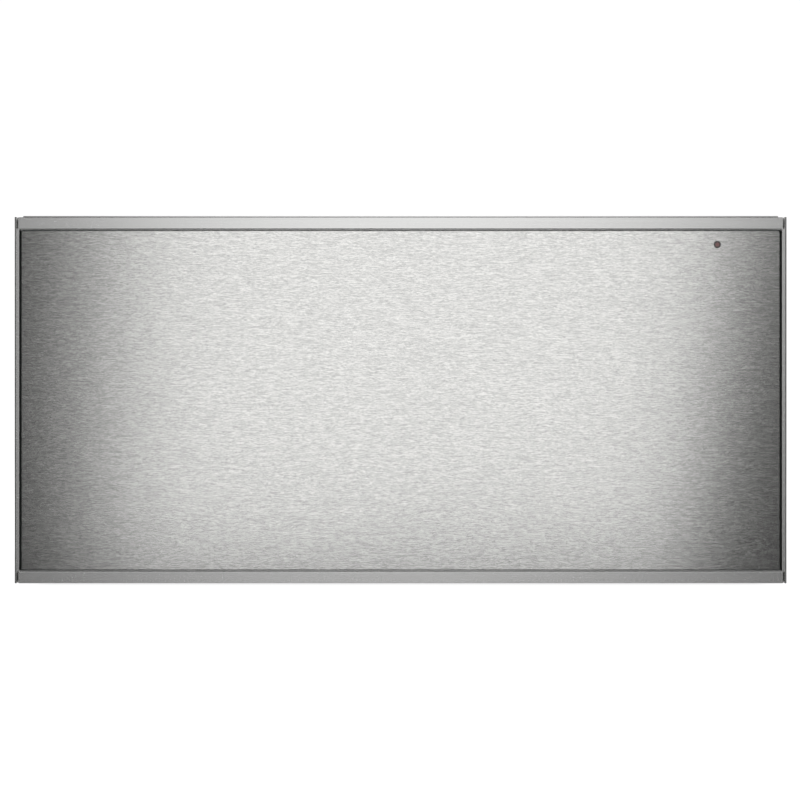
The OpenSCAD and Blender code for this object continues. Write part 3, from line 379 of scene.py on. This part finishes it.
def ground_glass(wire):
    grit = wire.noise(2200.0, detail=2.0)
    return {
        "Base Color": wire.blend(grit, (0.016, 0.024, 0.022), (0.035, 0.045, 0.042)),
        "Roughness": 0.45 + 0.15 * grit,
        "Normal": wire.bump(grit, 0.00004, 0.4),
    }


clear_glass = finish("clear_glass", thin_glass,
                     **{"Base Color": (1, 1, 1, 1), "Metallic": 1.0, "Roughness": 0.03})
# The rim's dullness is the ground finish; its near-black colour is painted shade along the pane's edge.
rim_shade_and_ground = finish("rim_shade_and_ground_finish", ground_glass)
plate_glass = finish("plate_glass", printed_plate, **{"IOR": 1.5, "Coat Weight": 0.3})
lamp_lens = finish("lamp_lens", red_lens)
lamp_ring = finish("lamp_ring", moulded((0.022, 0.007, 0.005), (0.03, 0.011, 0.009), rough=0.5))

# %% [markdown]
# ## The small metals and the circuit board
# Fan aluminium, heater tube, brass cages, spring wire, zinc screws and the turned knob share one
# recipe: a stain that shifts the tone, and a fine line or grain for the bump. The motor's iron is a
# stack of thin sheets, and a wave pattern draws their edges. The board's tracks come from a brick
# pattern, whose mortar stands for the copper under the green lacquer.

# %% Small metals and circuit board
def metal(dark, light, rough, lines=(900, 900, 900), stain_scale=60.0):
    def make(wire):
        line = wire.noise(1.0, detail=2.0, stretch=lines)
        stain = wire.noise(stain_scale, detail=4.0)
        return {
            "Base Color": wire.blend(stain, dark, light),
            "Roughness": rough + 0.12 * line + 0.08 * stain,
            "Normal": wire.bump(line, 0.00004, 0.35),
        }
    return make


def laminated(wire):
    sheet = wire.node("ShaderNodeTexWave", {"wave_type": "BANDS", "bands_direction": "Y"},
                      {"Vector": wire.place(), "Scale": 320.0})
    stain = wire.noise(80.0, detail=4.0)
    return {
        "Base Color": wire.blend(stain, (0.16, 0.17, 0.18), (0.30, 0.30, 0.31)),
        "Roughness": 0.4 + 0.2 * stain,
        "Normal": wire.bump(sheet, 0.0002, 0.6),
    }


def board(wire):
    track = wire.node("ShaderNodeTexBrick", {"offset": 0.5}, {
        "Vector": wire.place(), "Scale": 120.0, "Mortar Size": 0.08,
        "Color1": (0, 0, 0, 1), "Color2": (0.4, 0.4, 0.4, 1), "Mortar": (1, 1, 1, 1)})
    lines = wire.node("ShaderNodeSeparateColor", inputs={0: track})
    return {
        "Base Color": wire.blend(lines, (0.012, 0.10, 0.045), (0.03, 0.19, 0.085)),
        "Roughness": 0.3 + 0.15 * wire.noise(300.0),
        "Normal": wire.bump(lines, 0.00005, 0.5),
    }


motor_iron = finish("motor_iron", laminated, Metallic=0.8)
fan_metal = finish("fan_aluminium", metal((0.62, 0.63, 0.64), (0.78, 0.785, 0.79), 0.28), Metallic=1.0)
heater_tube = finish("heater_tube", metal((0.13, 0.11, 0.10), (0.27, 0.22, 0.20), 0.4), Metallic=0.9)
cage_brass = finish("cage_brass", metal((0.58, 0.43, 0.20), (0.74, 0.58, 0.30), 0.3), Metallic=1.0)
spring_steel = finish("spring_steel", metal((0.42, 0.42, 0.43), (0.6, 0.6, 0.61), 0.25), Metallic=1.0)
screw_steel = finish("screw_steel", metal((0.52, 0.53, 0.55), (0.70, 0.71, 0.72), 0.24), Metallic=1.0)
turned_knob = finish("turned_knob", metal((0.60, 0.60, 0.61), (0.70, 0.70, 0.71), 0.24, (300, 300, 2600)),
                     Metallic=1.0)
circuit_board = finish("circuit_board", board)

# %% [markdown]
# ## Which piece has which finish
# The record sorts the nodes into material slots, so the finishes are handed out by slot. Each CAD
# object keeps its mesh and gets the finish in its material slot.

# %% Hand out the finishes
SLOT_FINISH = {
    "sheet_steel": galvanised_sheet, "stainless_liner": satin_sheet, "brushed_face": face_steel,
    "clear_glass": clear_glass, "anodised_profile": anodised_profile, "dark_collar": collar_enamel,
    "wool": mineral_wool, "motor_iron": motor_iron, "fan_metal": fan_metal, "heater_tube": heater_tube,
    "black_plastic": black_plastic, "board_green": circuit_board, "light_plastic": ivory_plastic,
    "black_rubber": black_rubber, "spring_steel": spring_steel, "screw_steel": screw_steel,
    "runner_steel": plated_strip, "cage_brass": cage_brass, "lamp_red": lamp_lens,
    "lamp_ring": lamp_ring, "plate_glass": plate_glass, "mat_silicone": silicone_mat,
    "knob_metal": turned_knob,
}

for subpart in frame["record"]["subparts"]:
    piece = NODES[subpart["node"]]
    piece.data.materials.clear()
    piece.data.materials.append(SLOT_FINISH[subpart["material_slot"]])
print(len(NODES), "nodes finished in", len(SLOT_FINISH), "materials")

# %% [markdown]
# ## New pieces
# A few pieces are better made here than in CAD, because they are thin, soft or wound. They all go the
# same way: a bmesh is shaped with operators, becomes an object at the origin, rides on the body that
# carries it, and gets its materials.

# %% Blocks and bevels
def block(low, high):
    """A box between two corners."""
    mesh = bmesh.new()
    place = Matrix.Translation((low + high) / 2) @ Matrix.Diagonal((*(high - low), 1))
    bmesh.ops.create_cube(mesh, size=1.0, matrix=place)
    return mesh


def bevel(mesh, edges, width, segments=1):
    """Cuts edges off: one segment gives a flat, more of them a round."""
    bmesh.ops.bevel(mesh, geom=edges, offset=width, offset_type="OFFSET", affect="EDGES",
                    segments=segments, profile=0.5, material=-1, clamp_overlap=True)


print("blocks and bevels ready")

# %% [markdown]
# ## From a mesh to a piece
# The last steps are the same for every new piece, so one helper takes them: the bmesh becomes mesh
# data, gets its materials, and is tied to the body that moves it.

# %% Adding a piece
def add_piece(name, mesh, body, materials, smooth=False):
    """Turns a finished bmesh into a piece that rides on a body."""
    data = bpy.data.meshes.new(name)
    mesh.to_mesh(data)
    mesh.free()
    for material in materials:
        data.materials.append(material)
    data.polygons.foreach_set("use_smooth", [smooth] * len(data.polygons))
    piece = bpy.data.objects.new(name, data)
    bpy.context.scene.collection.objects.link(piece)
    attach(piece, body)
    print(name, len(data.polygons), "faces, rides on", body)
    return piece


print("pieces can be added")

# %% [markdown]
# ## The pane and its ground edge
# A pane of toughened glass never has a sharp edge: the arris is ground off before the furnace, and the
# ground band is dull. Its near-black colour here is painted shade, and it draws the fine dark line round
# the face in the photograph. A box with its corners rounded and its rims bevelled has that form, and the
# faces that don't look forwards or back get the ground finish. It stops a hair short of the steel behind
# it, because two faces in the same place would show through each other in blotches.

# %% Glass pane
ARRIS = 0.3 * MM
CORNER_RADIUS = 1.0 * MM
CORNER_SEGMENTS = 4
AIR = 0.05 * MM
NEARLY_STRAIGHT = 0.9


def runs_back(edge):
    """Whether an edge runs from front to back."""
    along = edge.verts[1].co - edge.verts[0].co
    return abs(along.normalized().y) > NEARLY_STRAIGHT


pane_low, pane_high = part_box("front_glass")
pane = block(pane_low, pane_high - Vector((0, AIR, 0)))
bevel(pane, [edge for edge in pane.edges if runs_back(edge)], CORNER_RADIUS, CORNER_SEGMENTS)
bevel(pane, [edge for edge in pane.edges if not runs_back(edge)], ARRIS)
pane_finishes = [clear_glass, rim_shade_and_ground]
for face in pane.faces:
    looks_straight = abs(face.normal.y) > NEARLY_STRAIGHT
    face.material_index = pane_finishes.index(clear_glass if looks_straight else rim_shade_and_ground)
glass_pane = add_piece("glass_pane", pane, "drawer", pane_finishes)
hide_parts("front_glass")

# %% [markdown]
# ## Painted slot shade and the top seal
# The deep, narrow slots beside the pane get almost no light, so a black foam strip sits in each of them,
# a little behind the pane's face, as painted shade. A thin lip stands on the top rail, a little behind
# its rounded front edge, and a black strip lies on that edge in front of the lip. It is the dark line
# along the top of the photograph. All of them are plain strips with their edges eased.

# %% Painted slot shade strips and top seal
EASE = 0.15 * MM
EASE_SEGMENTS = 2
WALL = 1.5 * MM
SEAL_INSET = 6.6 * MM
SEAL_DROP = 0.8 * MM
SEAL_HEIGHT = 0.44 * MM
SLOT_SHADE_DEPTH = 1.6 * MM

wall_left, wall_right = left_edge.x + WALL, right_edge.x - WALL
# Black strips in the deep slots beside the pane: painted shade.
for side, wall_x, pane_x in (("left", wall_left, pane_low.x), ("right", wall_right, pane_high.x)):
    low = Vector((min(wall_x, pane_x), pane_high.y - SLOT_SHADE_DEPTH, pane_low.z))
    high = Vector((max(wall_x, pane_x), pane_high.y, pane_high.z))
    strip = block(low, high)
    bevel(strip, strip.edges[:], EASE, EASE_SEGMENTS)
    add_piece(f"{side}_pane_slot_shade", strip, "drawer", [foam_and_painted_shade])

rail_low, rail_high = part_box("top_rail")
seal_top = rail_high.z - SEAL_DROP
seal = block(
    Vector((left_edge.x + SEAL_INSET, rail_low.y, seal_top - SEAL_HEIGHT)),
    Vector((right_edge.x - SEAL_INSET, rail_low.y + WALL, seal_top)),
)
upper_edges = [edge for edge in seal.edges if min(v.co.z for v in edge.verts) > seal_top - EASE]
bevel(seal, upper_edges, EASE, EASE_SEGMENTS)
add_piece("top_seal", seal, "drawer", [foam_and_painted_shade])

# %% [markdown]
# ## The latch's spring
# The CAD model fills the spring's space with a tube. The real one is wire wound in a helix. A spin
# operator that also steps along its axis winds a small circle into exactly that.

# %% Coiled spring
WIRE = 1.0 * MM
COILS = 11
STEPS_PER_COIL = 24
WIRE_SIDES = 8

spring_low, spring_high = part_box("latch_spring")
coil_radius = (spring_high.x - spring_low.x - WIRE) / 2
coil_middle = (spring_low + spring_high) / 2
coil_axis = Vector((coil_middle.x, spring_low.y, coil_middle.z))
spring_length = spring_high.y - spring_low.y
spring = bmesh.new()
ring = bmesh.ops.create_circle(
    spring, segments=WIRE_SIDES, radius=WIRE / 2, cap_ends=False,
    matrix=Matrix.Translation(coil_axis + Vector((coil_radius, WIRE / 2, 0))),
)["verts"]
ring_edges = [edge for edge in spring.edges if edge.verts[0] in ring]
steps = COILS * STEPS_PER_COIL
advance = (0, (spring_length - WIRE) / steps, 0)
bmesh.ops.spin(spring, geom=ring + ring_edges, cent=coil_axis, axis=(0, 1, 0), angle=math.tau * COILS,
               steps=steps, dvec=advance, use_duplicate=False)
open_ends = [edge for edge in spring.edges if edge.is_boundary]
bmesh.ops.holes_fill(spring, edges=open_ends, sides=WIRE_SIDES)
bmesh.ops.recalc_face_normals(spring, faces=spring.faces)
coil = add_piece("latch_coil", spring, "housing", [spring_steel], smooth=True)
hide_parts("latch_spring")
joints = {joint["name"]: joint for joint in frame["record"]["behaviour"]["joints"]}
press = joints["latch_press"]["range_m"][1]
1 - press / spring_length
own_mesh(coil)
print(f"spring {spring_length * 1000:.1f} mm, pressed by {press * 1000:.1f} mm")

# %% [markdown]
# ## The selector's scale
# Round the knob the panel carries a printed scale with the levels 0 to 4. The pointer starts at 0,
# which is nearest the user, and turns clockwise. Each numeral is a text object that is made a mesh,
# and each tick is a small block. Ink has hardly any height, so they stand only 0.04 mm proud.

# %% Scale numerals and ticks
INK = 0.04 * MM
LEVELS = 5
FIRST_DEGREES = -90
STEP_DEGREES = 60
NUMERAL_SIZE = 5.0 * MM
NUMERAL_GAP = 6.0 * MM
TICK_LENGTH = 2.0 * MM
TICK_WIDTH = 0.4 * MM
TICK_GAP = 2.0 * MM


def numeral_mesh(digit):
    """A printed digit as a mesh, centred on the origin."""
    text = bpy.data.curves.new(f"numeral_{digit}", "FONT")
    text.body = str(digit)
    text.size = NUMERAL_SIZE
    text.extrude = INK / 2
    text.align_x = "CENTER"
    text.align_y = "CENTER"
    holder = bpy.data.objects.new(text.name, text)
    mesh = bpy.data.meshes.new_from_object(holder)
    bpy.data.objects.remove(holder)
    return mesh


knob_low, knob_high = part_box("selector_knob")
knob_middle = (knob_low + knob_high) / 2
knob_radius = (knob_high.x - knob_low.x) / 2
panel_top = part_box("control_panel")[1].z
scale_centre = Vector((knob_middle.x, knob_middle.y, panel_top + INK / 2))
tick_shape = Matrix.Diagonal((TICK_LENGTH, TICK_WIDTH, INK, 1))
scale_mesh = bmesh.new()
for level in range(LEVELS):
    angle = math.radians(FIRST_DEGREES - STEP_DEGREES * level)
    outward = Vector((math.cos(angle), math.sin(angle), 0))
    numeral = numeral_mesh(level)
    numeral.transform(Matrix.Translation(scale_centre + outward * (knob_radius + NUMERAL_GAP)))
    scale_mesh.from_mesh(numeral)
    tick_place = Matrix.Translation(scale_centre + outward * (knob_radius + TICK_GAP))
    tick_turn = Matrix.Rotation(angle, 4, "Z")
    bmesh.ops.create_cube(scale_mesh, size=1.0, matrix=tick_place @ tick_turn @ tick_shape)
add_piece("selector_scale", scale_mesh, "drawer", [white_ink])

# %% [markdown]
# ## The studio floor
# A pale floor runs up into a wall all round the object, with a soft bend between them, so that no
# horizon shows from any side. An outline of floor, bend and wall is spun once round the middle. The
# ground of the photograph is pure white, and a floor that bright would light the front from below.
# So it is hidden from reflections and from bounced light, and it casts no shadow. It also lies a hair
# under the object, because two faces in one place show through each other.

# %% Round floor
FLOOR_RADIUS = 6.0
CURVE_RADIUS = 1.5
WALL_HEIGHT = 5.0
CURVE_STEPS = 12
WALL_SIDES = 64
FLOOR_DROP = 0.5 * MM
FLOOR_GLOW = 0.91


def studio_paper(wire):
    return {"Base Color": wire.blend(wire.noise(3.0), (0.3, 0.3, 0.3), (0.297, 0.297, 0.297))}


paper = finish("studio_floor", studio_paper, **{
    "Roughness": 0.9, "Emission Color": (1, 1, 1, 1), "Emission Strength": FLOOR_GLOW})

bend_start = FLOOR_RADIUS - CURVE_RADIUS
outline = [(0.0, 0.0), (bend_start, 0.0)]
for step in range(1, CURVE_STEPS + 1):
    angle = math.radians(90) * step / CURVE_STEPS
    reach = bend_start + CURVE_RADIUS * math.sin(angle)
    outline.append((reach, CURVE_RADIUS - CURVE_RADIUS * math.cos(angle)))
outline.append((FLOOR_RADIUS, WALL_HEIGHT))

floor_mesh = bmesh.new()
points = [floor_mesh.verts.new((out, 0, up)) for out, up in outline]
lines = [floor_mesh.edges.new(pair) for pair in zip(points, points[1:])]
bmesh.ops.spin(floor_mesh, geom=points + lines, cent=(0, 0, 0), axis=(0, 0, 1), dvec=(0, 0, 0),
               angle=math.tau, steps=WALL_SIDES, use_merge=True)
bmesh.ops.remove_doubles(floor_mesh, verts=floor_mesh.verts, dist=MM)
bmesh.ops.recalc_face_normals(floor_mesh, faces=floor_mesh.faces)
floor_data = bpy.data.meshes.new("studio_floor")
floor_mesh.to_mesh(floor_data)
floor_mesh.free()
floor_data.polygons.foreach_set("use_smooth", [True] * len(floor_data.polygons))
floor_data.materials.append(paper)
floor = bpy.data.objects.new("studio_floor", floor_data)
floor.location.z = -FLOOR_DROP
bpy.context.scene.collection.objects.link(floor)
floor.visible_glossy = False
floor.visible_diffuse = False
floor.visible_shadow = False
print(len(floor_data.polygons), "faces of floor and wall")

# %% [markdown]
# ## The front softbox
# The front is a mirror that brushing has blurred, so its light and dark are an image of what stands
# opposite it: one wide softbox, behind the camera and higher than it. Where the softbox ends, the
# steel falls off to grey, which is the soft darkening at the left, the right and the bottom of the
# photograph. A lamp with a hard edge would leave a line in the glass, so its light fades out towards
# both sides. The photograph's right end is darker low down than high up, so the lamp's right side
# leans inwards towards the bottom. Fades and lean are shares of the lamp's width.

# %% Front softbox
FRONT_LAMP_SIZE = (1.323, 1.29)
FRONT_LAMP_X = 0.0515
FRONT_LAMP_Z = 0.515
FRONT_LAMP_DISTANCE = 2.45
FRONT_LAMP_WATTS = 6.35
LEFT_FADE = 0.221
RIGHT_FADE = 0.135
RIGHT_LEAN = 0.137


def softbox(name, size, place, aim, watts):
    """A rectangular lamp that looks at a point."""
    data = bpy.data.lights.new(name, "AREA")
    data.shape = "RECTANGLE"
    data.size, data.size_y = size
    data.energy = watts
    box = bpy.data.objects.new(name, data)
    box.location = place
    box.rotation_euler = (Vector(aim) - Vector(place)).to_track_quat("-Z", "Y").to_euler()
    bpy.context.scene.collection.objects.link(box)
    print(f"{name}: {size[0]} x {size[1]} m, {watts} W")
    return data


front_aim = Vector((FRONT_LAMP_X, front_face_y, FRONT_LAMP_Z))
front_place = front_aim - Vector((0, FRONT_LAMP_DISTANCE, 0))
front_lamp = softbox("front_softbox", FRONT_LAMP_SIZE, front_place, front_aim, FRONT_LAMP_WATTS)
front_lamp.use_nodes = True
cloth = Wire(front_lamp.node_tree)
on_lamp = cloth.node("ShaderNodeNewGeometry", out="Parametric")
across = cloth.node("ShaderNodeSeparateXYZ", inputs={0: on_lamp}, out="X")
up = cloth.node("ShaderNodeSeparateXYZ", inputs={0: on_lamp}, out="Y")
from_right = 1 - across - (1 - up) * RIGHT_LEAN
nearest_side = cloth.math("MINIMUM", across * (1 / LEFT_FADE), from_right * (1 / RIGHT_FADE))
emission = front_lamp.node_tree.nodes["Emission"]
front_lamp.node_tree.links.new(nearest_side.rise(0.0, 1.0).socket, emission.inputs["Strength"])

# %% [markdown]
# ## The other softboxes
# The lamp in front leaves the top, the sides and the back dark. Four more softboxes stand above,
# beside and behind the object. They light the housing and the open drawer. From the camera none of
# them is mirrored in the front: three stand further back than it, and the fourth hangs far above.

# %% Top, side and rear softboxes
SIDE_SIZE = (1.2, 1.8)
SIDE_X = 2.2
SIDE_Y = 1.3
SIDE_Z = 1.6
SIDE_WATTS = 7
OBJECT_MIDDLE = (0.0, 0.0, 0.1)

softbox("top_softbox", (2.2, 2.2), (0.0, 0.2, 2.4), (0.0, 0.0, 0.0), 12)
softbox("left_softbox", SIDE_SIZE, (-SIDE_X, SIDE_Y, SIDE_Z), OBJECT_MIDDLE, SIDE_WATTS)
softbox("right_softbox", SIDE_SIZE, (SIDE_X, SIDE_Y, SIDE_Z), OBJECT_MIDDLE, SIDE_WATTS)
softbox("rear_softbox", (2.4, 1.4), (0.0, 2.4, 1.9), OBJECT_MIDDLE, 9)

# %% [markdown]
# ## The room
# The room behind the lamps is what metal reflects where it doesn't see a softbox. Level with the
# object it is dark in front and beside it, as in a studio with black flags, which gives the face its
# soft dark ends. Above, below and behind it is light, so that the object reads well from every side.
# A direction is one long here: its Z is 0 level with the object and 1 straight up, and its Y is -1 in
# front. The dark band reaches higher in front of the object than beside it. It is fully dark up to
# 0.7 of its height, and the room is fully light from 1.5 of it on.

# %% Room light
ROOM_DARK = 0.05
ROOM_LIGHT = 0.55
IN_FRONT = -0.9
BESIDE = -0.5
BAND_IN_FRONT = 0.4
BAND_BESIDE = 0.13
BAND_FULLY_DARK = 0.7
BAND_FULLY_LIGHT = 1.5
BEHIND_FROM = 0.35
BEHIND_TO = 0.8

world = bpy.data.worlds.new("studio")
world.use_nodes = True
sky = Wire(world.node_tree)
direction = sky.node("ShaderNodeTexCoord", out="Generated")
backward = sky.node("ShaderNodeSeparateXYZ", inputs={0: direction}, out="Y")
upward = sky.node("ShaderNodeSeparateXYZ", inputs={0: direction}, out="Z")
band = sky.node("ShaderNodeMapRange", inputs={
    0: backward, 1: IN_FRONT, 2: BESIDE, 3: BAND_IN_FRONT, 4: BAND_BESIDE})
off_level = sky.math("ABSOLUTE", upward).rise(band * BAND_FULLY_DARK, band * BAND_FULLY_LIGHT)
behind = backward.rise(BEHIND_FROM, BEHIND_TO)
strength = ROOM_DARK + (ROOM_LIGHT - ROOM_DARK) * sky.math("MAXIMUM", off_level, behind)
background = world.node_tree.nodes["Background"]
background.inputs["Color"].default_value = (1, 1, 1, 1)
world.node_tree.links.new(strength.socket, background.inputs["Strength"])
bpy.context.scene.world = world
print(f"room light from {ROOM_DARK} to {ROOM_LIGHT}")
